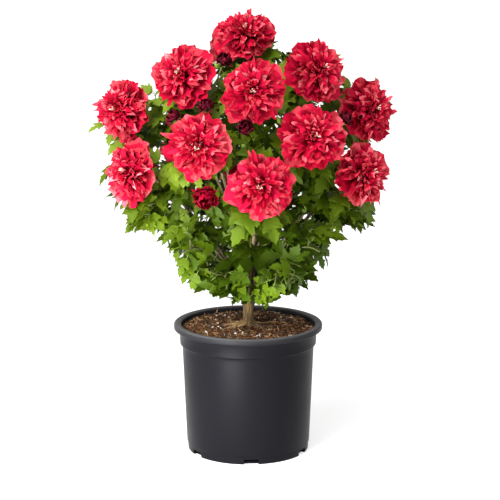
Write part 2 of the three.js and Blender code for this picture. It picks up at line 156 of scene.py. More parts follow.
pot = {"height": 200, "rimRadius": 114.5, "lipDepth": 9, "lipRoll": 3.2, "collarRadius": 105,
       "collarFoot": 168, "shoulderRadius": 101.5, "footRadius": 94.7, "footDepth": 12, "footStep": 1.1,
       "wall": 2.2, "floor": 3, "sides": 128, "notches": 6, "notchBearing": 273, "notchWidth": 22,
       "notchHeight": 8, "notchReach": 8}
soil = {"edge": 192.5, "top": 195, "padRadius": 30, "inset": 101.8, "bottom": 150, "bottomRadius": 97.5,
        "neckRadius": 98.5, "lump": 2.4, "lumpGrain": 0.06, "crumb": 1.3, "crumbGrain": 0.22, "sides": 72,
        "rings": 40}
trunk = {"ground": 195.3, "radius": 8.5, "tipRadius": 4.4, "tip": 336, "flare": 9, "flareHeight": 11,
         "lean": 3, "sides": 40, "flareRings": 9, "barkFrom": 16, "rings": 60, "toes": 5}
fork = {"lowest": 247, "highest": 326, "bloomLow": 438, "bloomHigh": 630, "backDrop": 6,
        "steeper": 8, "steepest": 62, "launchShare": 0.36, "calyxShare": 0.26}
bough = {"radius": 3.1, "tipRadius": 2.3, "share": 0.32, "leavesFrom": 0.14, "leafStep": 0.045, "rings": 34,
         "sides": 12, "collar": [1.6, 0.9, 0.4, 0.1], "relief": 0.22, "seed": 5}
skirt = {"low": 225, "high": 233, "radius": 2.6, "endRadius": 1.3, "launch": 52, "launchShare": 0.42,
         "hang": -24, "hangShare": 0.3, "turnToFront": 0.9, "firstSeed": 101}
bloom = {"radius": 49, "depth": 26, "domeRadius": 39}
goldenTurn = 137.5

# name: bearing, reach and height of its middle, then the bearing it faces and its tilt upwards
frontBlooms = {
    "crest": (233, 10, 643, 265, 50), "upper_left": (225, 135, 590, 250, 25),
    "upper_front": (273, 150, 573, 270, 20), "upper_right": (320, 130, 595, 290, 25),
    "side_left": (186, 189, 531, 235, 15), "side_right": (354, 182, 531, 308, 15),
    "middle_left": (248, 186, 499, 262, 15), "middle_right": (300, 184, 509, 280, 15),
    "low_left": (203, 189, 444, 232, 12), "low_right": (334, 189, 444, 308, 12),
    "low_front": (276, 188, 443, 272, 10)}
# name, bearings, reach and height of the middles, and the tilt upwards
backRings = [("crest_back", [101], 80, 626, 38), ("upper_back", [43, 135], 146, 576, 25),
             ("centre_back", [90], 162, 543, 20), ("middle_back", [58, 120], 186, 458, 15),
             ("low_back", [24, 90, 155], 187, 398, 12)]
# bearing, reach and height of the end
skirtEnds = [(192, 155, 388), (228, 142, 330), (250, 100, 292), (272, 108, 340), (294, 112, 300),
             (318, 142, 330), (349, 155, 388), (42, 130, 330), (88, 130, 310), (136, 132, 334)]


def polar(bearing, reach, height):
    turn = radians(bearing)
    return np.array([reach * cos(turn), reach * sin(turn), height])


def heading(bearing, tilt):
    return polar(bearing, cos(radians(tilt)), sin(radians(tilt)))


def unit(way):
    return way / norm(way)


def squareTo(way, wanted):
    return unit(wanted - way * np.dot(wanted, way))


def around(way, angle):  # square to way, at an angle round it; 0 is the highest
    high = squareTo(way, np.array([0.0, -1.0, 0.0]) if abs(way[2]) > 0.98 else up)
    return high * cos(radians(angle)) + np.cross(way, high) * sin(radians(angle))


def generator(start):  # the same draws as the solids grow by
    state = [(start * 7919 + 104729) % 2147483647]

    def draw():
        state[0] = state[0] * 16807 % 2147483647
        return state[0] / 2147483647
    return draw


def pathPoint(path, t):
    a, b, c, d = path
    s = 1 - t
    return a * s ** 3 + b * 3 * s * s * t + c * 3 * s * t * t + d * t ** 3


def pathWay(path, t):
    a, b, c, d = path
    s = 1 - t
    return unit((b - a) * s * s + (c - b) * 2 * s * t + (d - c) * t * t)


def pathPoints(path, start, end, count):
    return np.array([pathPoint(path, start + (end - start) * i / (count - 1)) for i in range(count)])


def pathLength(path):
    return norm(np.diff(pathPoints(path, 0, 1, 201), axis=0), axis=1).sum()


def trunkRise(z):
    return (z - trunk["ground"]) / (trunk["tip"] - trunk["ground"])


def trunkCentre(z):
    rise = trunkRise(z)
    return np.array([trunk["lean"] * rise * rise, -0.6 * trunk["lean"] * sin(rise * pi), z])


def trunkRadius(z):
    return trunk["radius"] + (trunk["tipRadius"] - trunk["radius"]) * trunkRise(z)


def forkHeight(bearing, height):
    share = min(max((height - fork["bloomLow"]) / (fork["bloomHigh"] - fork["bloomLow"]), 0), 1)
    drop = fork["backDrop"] if bearing < 180 else 0
    return fork["lowest"] + (fork["highest"] - fork["lowest"]) * share - drop


def floweringShoot(name, seed, bearing, reach, height, face, tilt):
    middle, way = polar(bearing, reach, height), heading(face, tilt)
    calyx = middle - way * bloom["depth"]
    start = trunkCentre(trunk["tip"] if name == "crest" else forkHeight(bearing, height))
    chord = calyx - start
    length = norm(chord)
    slant = degrees(atan2(chord[2], hypot(chord[0], chord[1])))
    towards = degrees(atan2(chord[1], chord[0]))
    launch = up if name == "crest" else heading(towards, min(slant + fork["steeper"], fork["steepest"]))
    path = (start, start + launch * length * fork["launchShare"],
            calyx - way * length * fork["calyxShare"], calyx)
    return {"name": name, "path": path, "length": pathLength(path), "middle": middle, "way": way,
            "facing": way, "seed": seed, "blooms": True, "from": bough["share"], "radius": bough["tipRadius"]}


def skirtShoot(index, bearing, reach, height):
    start = trunkCentre(skirt["high"] if index % 2 else skirt["low"])
    end = polar(bearing, reach, height)
    length = norm(end - start)
    path = (start, start + heading(bearing, skirt["launch"]) * length * skirt["launchShare"],
            end - heading(bearing, skirt["hang"]) * length * skirt["hangShare"], end)
    turned = heading(270, 0) * (skirt["turnToFront"] if bearing > 180 else 0)
    return {"name": f"skirt_{index + 1}", "path": path, "length": pathLength(path), "middle": end,
            "way": heading(bearing, 0), "facing": unit(heading(bearing, 0) + turned),
            "seed": skirt["firstSeed"] + index, "blooms": False, "from": 0, "radius": skirt["radius"]}


def planShoots():
    blooms = list(frontBlooms.items())
    for name, bearings, reach, height, tilt in backRings:
        for i, bearing in enumerate(bearings):
            own = f"{name}_{i + 1}" if len(bearings) > 1 else name
            blooms.append((own, (bearing, reach, height, bearing, tilt)))
    flowering = [floweringShoot(name, i + 1, *place) for i, (name, place) in enumerate(blooms)]
    return flowering + [skirtShoot(i, *end) for i, end in enumerate(skirtEnds)]


shoots = planShoots()
flowering = [shoot for shoot in shoots if shoot["blooms"]]
foliageNodes = [f"foliage_{shoot['name']}" for shoot in shoots]


# room in the crown: every shoot is a chain of balls, and a mass keeps to what lies nearest to its own

margin = {"space": 0.3, "limb": 1.2, "roundTrunk": 3, "ballStep": 5}
# no leaf hangs below a cone that opens upwards, nor below the brim outside its reach
crownFoot = {"height": 211, "reach": 35, "slope": 0.75, "brim": 345, "brimReach": 126}


def chainOf(shoot):
    steps = ceil(shoot["length"] / margin["ballStep"])
    shares = [i / steps for i in range(steps + 1)]
    limb = [(*pathPoint(shoot["path"], t), bough["radius"]) for t in shares if t < shoot["from"]]
    mass = [(*pathPoint(shoot["path"], t), shoot["radius"]) for t in shares if t >= shoot["from"]]
    if shoot["blooms"]:
        mass.append((*shoot["middle"], bloom["radius"]))
    return limb, mass


chains = [chainOf(shoot) for shoot in shoots]
limbBalls = np.array([ball for limb, mass in chains for ball in limb])
ownBalls = [np.array(mass) for limb, mass in chains]
otherBalls = [np.concatenate([balls for i, balls in enumerate(ownBalls) if i != owner])
              for owner in range(len(shoots))]


def distances(points, balls):
    return norm(points[:, None] - balls[None, :, :3], axis=2) - balls[None, :, 3]


def clearOfFoot(points):
    heights = np.minimum(points[:, 2], trunk["tip"])
    centres = np.array([trunkCentre(z) for z in heights])
    apart = norm(points - centres, axis=1)
    reach = np.hypot(points[:, 0], points[:, 1])
    lowest = crownFoot["height"] + crownFoot["slope"] * np.maximum(reach - crownFoot["reach"], 0)
    lowest = np.where(reach > crownFoot["brimReach"], np.maximum(lowest, crownFoot["brim"]), lowest)
    return (points[:, 2] > lowest).all() and (apart > trunk["radius"] + margin["roundTrunk"]).all()


def isFree(points, owner, inside=False):
    if not clearOfFoot(points) or distances(points, limbBalls).min() < margin["limb"]:
        return False
    if inside:  # between the boughs, where no bloom or stem is near
        return distances(points, otherBalls[owner]).min() > margin["limb"]
    own = distances(points, ownBalls[owner]).min(axis=1)
    other = distances(points, otherBalls[owner]).min(axis=1)
    return (other > np.maximum(own + 2 * margin["space"], margin["limb"])).all()


# growth: stems, side twigs, finer twigs and leaves

stem = {"spacing": 10, "bareFoot": 14, "bareEnd": 12, "bareTip": 3, "endRadius": 1.6, "leafEvery": 3,
        "rings": 14, "sides": 7}
twig = {"radius": 1.2, "endRadius": 0.7, "length": 48, "spacing": 12, "lift": 34, "rise": 0.12,
        "bareEnd": 6, "trials": 5, "shorter": 0.85, "sag": 0.04, "leafSag": 0.03,
        "probes": [[0.35], [0.55], [0.8], [1], [1.1]]}
spur = {"radius": 0.8, "endRadius": 0.5, "length": 20, "every": 3, "trials": 3}
leaf = {"shortest": 38, "longest": 64, "stalk": 11, "stalkRadius": 0.6, "roll": 0.8, "droop": 0.75,
        "forward": 0.6, "outward": 1.2, "apart": 6, "trials": 7, "smaller": 0.92, "level": 0.8,
        "young": 0.8, "fold": 0.12, "curl": 0.08, "bend": 0.3}
# a leaf's size by its place; twigPair is the second leaf at a twig's end, noSpur stands where none has room
leafSize = {"bough": 0.95, "twig": 0.95, "twigEnd": 0.85, "twigPair": 0.75, "noSpur": 0.9, "spur": 0.8,
            "spurEnd": 0.85}
# greens by place: deeper inside the crown and low down as painted shade, lighter outside as painted light,
# and young leaves at the top
leafLight = {"leafDeep": 0.28, "leafMid": 0.5, "leafFresh": 0.72}


def newMass(owner):
    return {"owner": owner, "shoot": shoots[owner], "draw": generator(shoots[owner]["seed"]),
            "leaves": [], "limbs": [], "tips": [], "taken": np.zeros((0, 3))}


def inBloom(heart, points):
    return heart["blooms"] and (norm(points - heart["middle"], axis=1) < bloom["domeRadius"]).any()


def growLeaf(mass, joint, way, turn, size, shade, inside=False):
    draw, heart = mass["draw"], mass["shoot"]
    young = leaf["young"] if shade == "leafYoung" else 1
    length = (leaf["shortest"] + (leaf["longest"] - leaf["shortest"]) * draw()) * size * young
    roll = (draw() - 0.5) * leaf["roll"]
    hang = leaf["droop"] * (0.5 + draw())
    fold, curl = leaf["fold"] + leaf["bend"] * draw(), leaf["curl"] + leaf["bend"] * draw()
    for trial in range(leaf["trials"]):
        out = around(way, turn + goldenTurn * trial)
        along = unit(out + way * leaf["forward"] - up * hang * leaf["level"] ** trial)
        flat = squareTo(along, up + heart["facing"] * leaf["outward"])
        normal = unit(flat + np.cross(along, flat) * roll)
        reach = length * leaf["smaller"] ** trial
        root = joint + unit(out + way * leaf["forward"]) * leaf["stalk"] * size
        side = np.cross(normal, along)
        # two places on the midrib, one at the tip and one in each side lobe
        probes = root + reach * np.array([along * 0.3, along * 0.65, along * 0.95 - normal * curl,
                                          along * 0.4 + side * 0.36, along * 0.4 - side * 0.36])
        centre = probes[1]
        crowded = (norm(mass["taken"] - centre, axis=1) < leaf["apart"]).any()
        if not inBloom(heart, probes) and not crowded and isFree(probes, mass["owner"], inside):
            mass["taken"] = np.vstack([mass["taken"], centre])
            mass["leaves"].append((root, along, normal, reach, fold, curl, shade))
            mass["limbs"].append(([joint, joint * 0.5 + root * 0.5 + up, root + along * 2],
                                  [leaf["stalkRadius"]] * 3, 3, "stalk"))
            return


def springOf(mass, joint, way, turn, wanted, trials):  # the first way out that has room for a twig
    heart = mass["shoot"]
    for trial in range(trials):
        out = around(way, turn + goldenTurn * trial) * cos(radians(twig["lift"]))
        launch = unit(out + way * sin(radians(twig["lift"])) + up * twig["rise"])
        length = wanted * twig["shorter"] ** trial
        points = joint + launch * length * np.array(twig["probes"])
        if not inBloom(heart, points) and isFree(points, mass["owner"]):
            return launch, length
    return None


def growTwig(mass, joint, way, turn, shade):
    draw = mass["draw"]
    spring = springOf(mass, joint, way, turn, twig["length"] * (0.75 + 0.5 * draw()), twig["trials"])
    if not spring:
        growLeaf(mass, joint, way, turn, 1, shade)
        return
    launch, length = spring
    tip = joint + launch * length
    bend = joint + launch * length * 0.5 - up * twig["sag"] * length
    mass["limbs"].append(([joint, bend, tip], [twig["radius"], 1, twig["endRadius"]], 4, "twig"))
    leafTurn = 360 * draw()
    along, count = twig["spacing"], 0
    while along < length - twig["bareEnd"]:
        start = joint + launch * along - up * twig["leafSag"] * length
        if count % spur["every"] == 0:
            growSpur(mass, start, launch, leafTurn, shade)
        else:
            growLeaf(mass, start, launch, leafTurn, leafSize["twig"], shade)
        leafTurn += goldenTurn
        along += twig["spacing"]
        count += 1
    growLeaf(mass, tip - launch, launch, leafTurn, leafSize["twigEnd"], shade)
    growLeaf(mass, tip - launch * 4, launch, leafTurn + 180, leafSize["twigPair"], shade)
    mass["tips"].append((tip, launch))


def growSpur(mass, joint, way, turn, shade):  # a finer twig, with a leaf on its side and one at its end
    wanted = spur["length"] * (0.8 + 0.4 * mass["draw"]())
    spring = springOf(mass, joint, way, turn, wanted, spur["trials"])
    if not spring:
        growLeaf(mass, joint, way, turn, leafSize["noSpur"], shade)
        return
    launch, length = spring
    tip = joint + launch * length
    mass["limbs"].append(([joint, tip], [spur["radius"], spur["endRadius"]], 3, "green"))
    growLeaf(mass, joint + launch * length * 0.5, launch, turn, leafSize["spur"], shade)
    growLeaf(mass, tip, launch, turn + goldenTurn, leafSize["spurEnd"], shade)


def shadeFor(light, limits, brightest):  # the first shade whose limit is above the light
    return next((shade for shade, limit in limits.items() if light < limit), brightest)


def sprayShade(place, draw):  # partly the leaves' own age, young at the top, and partly painted shade and light: deeper green inside and low, fresher outside
    outside = min(np.hypot(place[0], place[1]) / 200, 1)
    light = 0.5 * outside + 0.35 * (place[2] - 300) / 300 + 0.5 * (draw() - 0.5)
    return shadeFor(light, leafLight, "leafYoung")


def growStem(mass):
    shoot = mass["shoot"]
    path, share = shoot["path"], 1 / shoot["length"]
    at = max(shoot["from"] + stem["bareEnd"] * share, stem["bareFoot"] * share)
    last = 1 - share * (stem["bareEnd"] if shoot["blooms"] else stem["bareTip"])
    turn, count = 360 * mass["draw"](), 0
    # leaves between the boughs, deep inside the crown, all take the deepest green as painted shade
    for bare in np.arange(bough["leavesFrom"], shoot["from"], bough["leafStep"]):
        growLeaf(mass, pathPoint(path, bare), pathWay(path, bare), turn, leafSize["bough"], "leafDeep", True)
        turn += goldenTurn
    while at < last:
        joint, way = pathPoint(path, at), pathWay(path, at)
        shade = sprayShade(joint, mass["draw"])
        if count % stem["leafEvery"] != 1:
            growTwig(mass, joint, way, turn, shade)
        else:
            growLeaf(mass, joint, way, turn, 1, shade)
        turn += goldenTurn
        at += stem["spacing"] * share
        count += 1
    end = stem["endRadius"] if shoot["blooms"] else skirt["endRadius"]
    rings = pathPoints(path, shoot["from"], 1, stem["rings"])
    radii = np.linspace(shoot["radius"], end, stem["rings"])
    mass["limbs"].append((rings, radii, stem["sides"], "stem" if shoot["blooms"] else "twig"))


masses = [newMass(owner) for owner in range(len(shoots))]
for mass in masses:
    growStem(mass)
print("grown:", sum(len(mass["leaves"]) for mass in masses), "leaves on",
      sum(len(mass["limbs"]) for mass in masses), "stems, twigs and stalks")


# joined meshes from arrays

def newHeap():
    return {"points": [], "faces": [], "shades": [], "count": 0}


def addMesh(heap, points, faces, shades):
    heap["points"].append(points)
    heap["faces"] += [[corner + heap["count"] for corner in face] for face in faces]
    heap["shades"] += shades
    heap["count"] += len(points)


def addGrid(heap, points, shades):  # rows along and columns across; shades: one, or a list by row or face
    rows, columns = points.shape[:2]
    index = np.arange(rows * columns).reshape(rows, columns)
    quads = np.stack([index[:-1, :-1], index[1:, :-1], index[1:, 1:], index[:-1, 1:]], axis=-1)
    byRow = [shades] * (rows - 1) if isinstance(shades, str) else shades
    names = [name for row in byRow for name in ([row] * (columns - 1) if isinstance(row, str) else row)]
    addMesh(heap, points.reshape(-1, 3), quads.reshape(-1, 4).tolist(), names)


def addTube(heap, centres, radii, sides, shade):
    centres = np.array(centres)
    ways = np.gradient(centres, axis=0)
    normal, rings = around(unit(ways[0]), 0), []
    turns = np.arange(sides) * 2 * pi / sides
    for centre, way, radius in zip(centres, ways, radii):
        normal = squareTo(unit(way), normal)
        side = np.cross(unit(way), normal)
        rings.append(centre + radius * (np.cos(turns)[:, None] * normal + np.sin(turns)[:, None] * side))
    index = np.arange(len(rings) * sides).reshape(-1, sides)
    after = np.roll(index, -1, axis=1)
    quads = np.stack([index[:-1], after[:-1], after[1:], index[1:]], axis=-1).reshape(-1, 4)
    faces = [*quads.tolist(), index[0, ::-1].tolist(), index[-1].tolist()]
    addMesh(heap, np.concatenate(rings), faces, [shade] * len(faces))


def pickNone():
    bpy.ops.object.select_all(action="DESELECT")


def newObject(name, data, place=(0, 0, 0)):
    made = bpy.data.objects.new(name, data)
    made.location = place
    bpy.context.collection.objects.link(made)
    return made


def enrol(piece, nodes):
    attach(piece, "root")
    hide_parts(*nodes)
    print(f"{piece.name}: {len(piece.data.polygons)} faces")
    return piece


def pieceFrom(heap, name, shades, nodes):
    mesh = bpy.data.meshes.new(name)
    mesh.from_pydata((np.concatenate(heap["points"]) * mm).tolist(), [], heap["faces"])
    order = {shade: i for i, shade in enumerate(shades)}
    for finish in shades.values():
        mesh.materials.append(finish)
    mesh.polygons.foreach_set("material_index", [order[shade] for shade in heap["shades"]])
    mesh.polygons.foreach_set("use_smooth", [True] * len(mesh.polygons))
    mesh.update()
    return enrol(newObject(name, mesh), nodes)


# leaves: a three-lobed, toothed half outline as (along, across) shares of the length

leafEdge = [(0.0, 0.02), (0.02, 0.14), (0.11, 0.25), (0.21, 0.33), (0.30, 0.31), (0.42, 0.40), (0.54, 0.385),
            (0.47, 0.24), (0.47, 0.14), (0.58, 0.16), (0.68, 0.24), (0.72, 0.155), (0.84, 0.14), (0.89, 0.07),
            (1.0, 0.012)]
leafRib = [0, 0.04, 0.1, 0.17, 0.24, 0.31, 0.38, 0.43, 0.48, 0.56, 0.63, 0.71, 0.8, 0.89, 0.99]
leafPleat = 0.017
leafColours = {"leafDeep": (0.045, 0.082, 0.002), "leafMid": (0.08, 0.133, 0.003),
               "leafFresh": (0.132, 0.198, 0.006), "leafYoung": (0.185, 0.275, 0.018)}


def leafGrid():  # (along, across, lift) of every point, from one edge over the midrib to the other
    rows = []
    for i, ((along, across), rib) in enumerate(zip(leafEdge, leafRib)):
        pleat = leafPleat * (-1) ** i
        half = ((rib + along) / 2, across * 0.5, pleat)
        rows.append([(along, -across, 0), (half[0], -half[1], pleat), (rib, 0, 0), half, (along, across, 0)])
    return np.array(rows)


def makeLeaves():
    heap, grid = newHeap(), leafGrid()
    along, across, lift = grid[..., 0:1], grid[..., 1:2], grid[..., 2:3]
    for mass in masses:
        for root, way, normal, length, fold, curl, shade in mass["leaves"]:
            side = np.cross(normal, way)
            rise = fold * np.abs(across) - curl * along ** 2 - 0.5 * across ** 2 + lift
            addGrid(heap, root + length * (way * along + side * across + normal * rise), shade)
    pieceFrom(heap, "leaves", shadesBy(leafShade, leafColours), foliageNodes)


def makeStems():
    heap = newHeap()
    for mass in masses:
        for centres, radii, sides, kind in mass["limbs"]:
            addTube(heap, centres, radii, sides, kind)
    shades = {"stem": barkFinish("stemBark", (0.27, 0.19, 0.09), (0.5, 0.38, 0.21), 500),
              "twig": leafShade("twigSkin", (0.09, 0.1, 0.03)),
              "green": leafShade("spurSkin", (0.17, 0.24, 0.05)),
              "stalk": leafShade("stalkSkin", (0.2, 0.3, 0.07))}
    pieceFrom(heap, "stems", shades, foliageNodes)


makeLeaves()
makeStems()


# blooms: rows of broad ruffled guard petals round a dome of crowded, crinkled petals

# a row: petals, reach, rise and width; a ring: petals, slant, reach and width
guard = {"rows": [(6, 51, -7, 24), (6, 46, 0, 18), (7, 39, 7, 13)], "turn": (-13, 13), "reach": (0.85, 1.04),
         "rise": (-6, 5), "width": (0.8, 1.12)}
crowd = {"rings": [(20, 82, 43, 7.6), (19, 68, 39, 7.4), (18, 56, 36, 7.2), (16, 44, 35, 6.8),
                   (13, 32, 34, 6.4), (10, 20, 33, 6), (6, 9, 32, 5.6)],
         "height": 0.72, "turn": (-15, 15), "lean": (-12, 12), "reach": (0.8, 1.06), "width": (0.4, 0.72),
         "hollow": 0.72, "hollowTurn": 35, "hollowLean": 22, "standout": 1.2}
# share of the width at a petal's foot, how slowly it widens, and scallops of the rim to each ruffle
petal = {"foot": 0.16, "fullness": 1.2, "lobes": 1.7}
# how a petal is shaped; a pair of values is a span that each petal draws from, in this order
guardForm = {"along": 9, "across": 13, "scallop": (0.025, 0.065), "waves": (2.0, 3.4), "phase": (0, 6.3),
             "round": 0.22, "swell": (1.2, 1.5), "ruffle": (2.0, 4.0), "cup": (-0.2, 0.35),
             "twist": (-0.35, 0.35), "curl": (-7, 6), "sway": (-4, 4), "pleat": 0.7, "ragged": 0.025,
             "crinkle": 0.5}
crowdForm = {"along": 8, "across": 5, "scallop": (0.04, 0.14), "waves": (0.8, 1.6), "phase": (0, 6.3),
             "round": (0.1, 0.26), "swell": (1.0, 1.4), "ruffle": (1.0, 2.6), "cup": (-0.5, 0.7),
             "twist": (-0.7, 0.7), "curl": (-4, 4), "sway": (-4.5, 4.5), "pleat": 0.25, "ragged": 0.02,
             "crinkle": 0.45}
tuftForm = {"along": 4, "across": 3, "scallop": 0, "waves": 1, "round": 0.2, "swell": 1.2, "ruffle": 1.2,
            "cup": 0.6, "twist": (-1, 1), "curl": 0, "sway": (-3, 3), "pleat": 0, "ragged": 0, "crinkle": 0.3}
# a petal's rows step from deep to coral: the deep foot is painted shade, the rose, coral and pink rims and
# tips are painted highlight
guardLight = {"petalDeep": 0.1, "petalCrimson": 0.38, "petalRed": 0.78, "petalRose": 1.0}
crowdLight = {"petalRed": 0.4, "petalRose": 0.72, "petalCoral": 0.97}
# one red in several copies: partly the petals' own tone, partly painted shade (deep, crimson) and painted
# highlight (rose, coral, pink)
petalColours = {"petalDeep": (0.23, 0.0, 0.01), "petalCrimson": (0.38, 0.0, 0.024),
                "petalRed": (0.535, 0.003, 0.034), "petalRose": (0.67, 0.045, 0.07),
                "petalCoral": (0.77, 0.115, 0.145), "petalPink": (0.82, 0.24, 0.27)}
budColours = {"budBlack": (0.024, 0.001, 0.004), "budPlum": (0.07, 0.002, 0.009),
              "budWine": (0.15, 0.004, 0.018)}


def drawnForm(form, rng, **own):
    drawn = {name: rng.uniform(*value) if isinstance(value, tuple) else value for name, value in form.items()}
    return {**drawn, "rng": rng, **own}


def addPetal(heap, place, path, width, shape, shades):
    # place: middle, way, out and side; path: radius and height of three control points
    middle, way, out, side = place
    rows, columns = shape["along"], shape["across"]
    s = np.linspace(0, 1, rows)[:, None]
    v = np.linspace(-1, 1, columns)[None, :]
    crinkle = shape["rng"].normal(0, 1, (rows, columns)) * s ** 2
    edge = shape["scallop"] * np.sin(shape["waves"] * petal["lobes"] * v + shape["phase"])
    edge = edge + shape["ragged"] * crinkle[-1:]
    t = s * (1 + s ** 3 * (edge - shape["round"] * v ** 2))
    (r0, h0), (r1, h1), (r2, h2) = path
    radius = r0 * (1 - t) ** 2 + 2 * r1 * t * (1 - t) + r2 * t ** 2
    height = h0 * (1 - t) ** 2 + 2 * h1 * t * (1 - t) + h2 * t ** 2 + shape["curl"] * s ** 4
    slopeR = 2 * (r1 - r0) * (1 - t) + 2 * (r2 - r1) * t
    slopeH = 2 * (h1 - h0) * (1 - t) + 2 * (h2 - h1) * t
    steep = np.hypot(slopeR, slopeH)
    full = np.sin(np.clip(s * shape["swell"], 0, 1) * pi / 2) ** petal["fullness"]
    half = width * (petal["foot"] + (1 - petal["foot"]) * full)
    ripple = shape["ruffle"] * s ** 2 * np.sin(shape["waves"] * pi * v + shape["phase"] + 2 * s)
    pleat = shape["pleat"] * s * (-1) ** np.arange(columns)
    lift = ripple + pleat + shape["cup"] * half * v ** 2 * s + shape["crinkle"] * crinkle
    twist = shape["twist"] * s
    across, over = half * v * np.cos(twist) + shape["sway"] * s ** 2, half * v * np.sin(twist) + lift
    radius = (radius - over * slopeH / steep)[..., None]
    height = (height + over * slopeR / steep)[..., None]
    addGrid(heap, middle + out * radius + way * height + side * across[..., None], shades)


def guardShades(rng):  # painted shade deep at the foot, then crimson, lighter row by row out to the rim as painted highlight, in streaks of each petal's own random tone
    columns = guardForm["across"] - 1
    streaks = np.repeat(rng.uniform(-0.18, 0.18, columns // 2), 2) + rng.uniform(-0.22, 0.2)
    rows = [["petalDeep"] * columns] * 2
    for row in range(2, guardForm["along"] - 1):
        light = streaks + 0.115 * row + rng.uniform(-0.07, 0.07, columns)
        rows.append([shadeFor(value, guardLight, "petalCoral") for value in light])
    return rows


# three deep rows at the foot as painted shade between the crowded petals; rose, coral and pink tips as
# painted highlight, dealt at random
def crowdShades(rng):
    bright = rng.random()
    tip = shadeFor(bright, crowdLight, "petalPink")
    middle = "petalCrimson" if tip == "petalRed" else "petalRed"
    return ["petalDeep"] * 3 + [middle] * (crowdForm["along"] - 6) + ["petalRed", tip]


def placeAt(middle, way, angle):
    out = around(way, angle)
    return middle, way, out, np.cross(way, out)


def makeBloom(guards, crowds, threads, middle, way, seed):
    rng = np.random.default_rng(seed)
    start = rng.uniform(0, 360)
    hollow, hollowSlant = rng.uniform(0, 360), rng.uniform(15, 50)
    for row, (count, reach, rise, width) in enumerate(guard["rows"]):
        for i in range(count):
            angle = start + (i + 0.5 * row) * 360 / count + rng.uniform(*guard["turn"])
            tip = (reach * rng.uniform(*guard["reach"]), rise + rng.uniform(*guard["rise"]))
            shape = drawnForm(guardForm, rng)
            path = [(4, -21), (24, -9 + 4 * row), tip]
            broad = width * rng.uniform(*guard["width"])
            addPetal(guards, placeAt(middle, way, angle), path, broad, shape, guardShades(rng))
    for ring, (count, slant, reach, width) in enumerate(crowd["rings"]):
        for i in range(count):
            turn = (i + 0.5 * ring) * 360 / count + rng.uniform(*crowd["turn"])
            lean = radians(max(slant + rng.uniform(*crowd["lean"]), 0))
            aside = abs((turn - hollow + 180) % 360 - 180) / crowd["hollowTurn"]
            aside += abs(degrees(lean) - hollowSlant) / crowd["hollowLean"]
            far = reach * rng.uniform(*crowd["reach"])
            far *= crowd["hollow"] if aside < 1 else crowd["standout"] if rng.random() > 0.9 else 1
            tip = (far * sin(lean), crowd["height"] * far * cos(lean))
            shape = drawnForm(crowdForm, rng)
            foot = (2.5 + 0.05 * slant, -12 + rng.uniform(-2, 2))
            bend = (tip[0] * rng.uniform(0.25, 0.55), tip[1] * 0.55 + rng.uniform(1, 8))
            broad = width * rng.uniform(*crowd["width"])
            place = placeAt(middle, way, start + turn)
            addPetal(crowds, place, [foot, bend, tip], broad, shape, crowdShades(rng))
    heart = middle + way * 22 + around(way, rng.uniform(0, 360)) * rng.uniform(0, 7)
    for i in range(3):  # a few stamens, each in a small curled petal
        place = placeAt(heart, way, 120 * i + rng.uniform(-30, 30))
        tip = heart + way * rng.uniform(0, 4) + place[2] * rng.uniform(1, 3.5)
        addTube(threads, [heart - way * 8, heart * 0.5 + tip * 0.5 - way * 3, tip, tip + way * 1.4],
                [0.4, 0.4, 0.8, 0.4], 5, "cream")
        shape = drawnForm(tuftForm, rng, phase=i)
        path = [(0.5, -8), (2, -2), (rng.uniform(2.5, 5.5), 3)]
        addPetal(threads, place, path, rng.uniform(1.1, 1.9), shape, ["blush", "blush", "cream"])


# a row: radius, rise and half width; the cup bends a sepal's edges inwards
sepal = {"count": 5, "rows": [(1.5, -1, 1.6), (5.5, 3, 4.2), (8.5, 9, 4.4), (11, 15, 2.4), (13, 19, 0.4)],
         "cup": 0.06, "footSides": 8}


def addBlades(heap, base, way, count, rows, shade, size=1, cup=0):  # narrow blades in a ring round way
    for i in range(count):
        _, _, out, side = placeAt(base, way, i * 360 / count)
        grid = [[base + size * (way * rise + out * (radius - cup * (v * half) ** 2) + side * v * half)
                 for v in (-1, 0, 1)] for radius, rise, half in rows]
        addGrid(heap, np.array(grid), shade)


def addCalyx(heap, base, way, size):  # pointed sepals round a short cup, and a swollen foot
    addBlades(heap, base, way, sepal["count"], sepal["rows"], "sepal", size, sepal["cup"])
    addTube(heap, [base - way * 3 * size, base + way * 1 * size, base + way * 5 * size],
            [1.8 * size, 4.2 * size, 4.6 * size], sepal["footSides"], "sepal")


guards, crowds, threads, calyces = newHeap(), newHeap(), newHeap(), newHeap()
for shoot in flowering:
    makeBloom(guards, crowds, threads, shoot["middle"], shoot["way"], shoot["seed"])
    addCalyx(calyces, shoot["middle"] - shoot["way"] * bloom["depth"], shoot["way"], 1)

# buds and a half-open bloom, each on a twig of its own: bearing, reach, height and the shoot it grows from
darkBuds = [(251, 106, 612, "upper_left"), (269, 172, 525, "upper_front"), (233, 175, 535, "middle_left"),
            (249, 165, 552, "middle_left"), (322, 178, 528, "middle_right")]
halfOpen = (251, 185, 425, "middle_left")
bud = {"from": 0.74, "sag": 0.1, "twigRadii": [1.5, 1.3, 1.4], "radius": 11, "openRadius": 17,
       "rings": [(7, 100), (8, 70), (7, 45), (5, 20)], "width": 0.42, "calyx": 0.72, "openCalyx": 0.8,
       "darkSeed": 40, "openSeed": 60}
budForm = {"along": 6, "across": 5, "scallop": 0.1, "waves": (1, 2), "round": 0.2, "phase": (0, 6.3),
           "swell": 1.2, "curl": 0, "sway": 0, "cup": (0.2, 0.7), "twist": (-0.6, 0.6), "ragged": 0.04}
darkHeap, budTwigs = newHeap(), newHeap()


def budStand(bearing, reach, height, shootName):
    path = next(shoot["path"] for shoot in shoots if shoot["name"] == shootName)
    tip, joint = polar(bearing, reach, height), pathPoint(path, bud["from"])
    away = tip - joint
    bend = joint + away * 0.5 - up * bud["sag"] * norm(away)
    way = unit(tip - bend)
    addTube(budTwigs, [joint, bend, tip - way * bud["radius"]], bud["twigRadii"], 5, "stalk")
    return tip, way


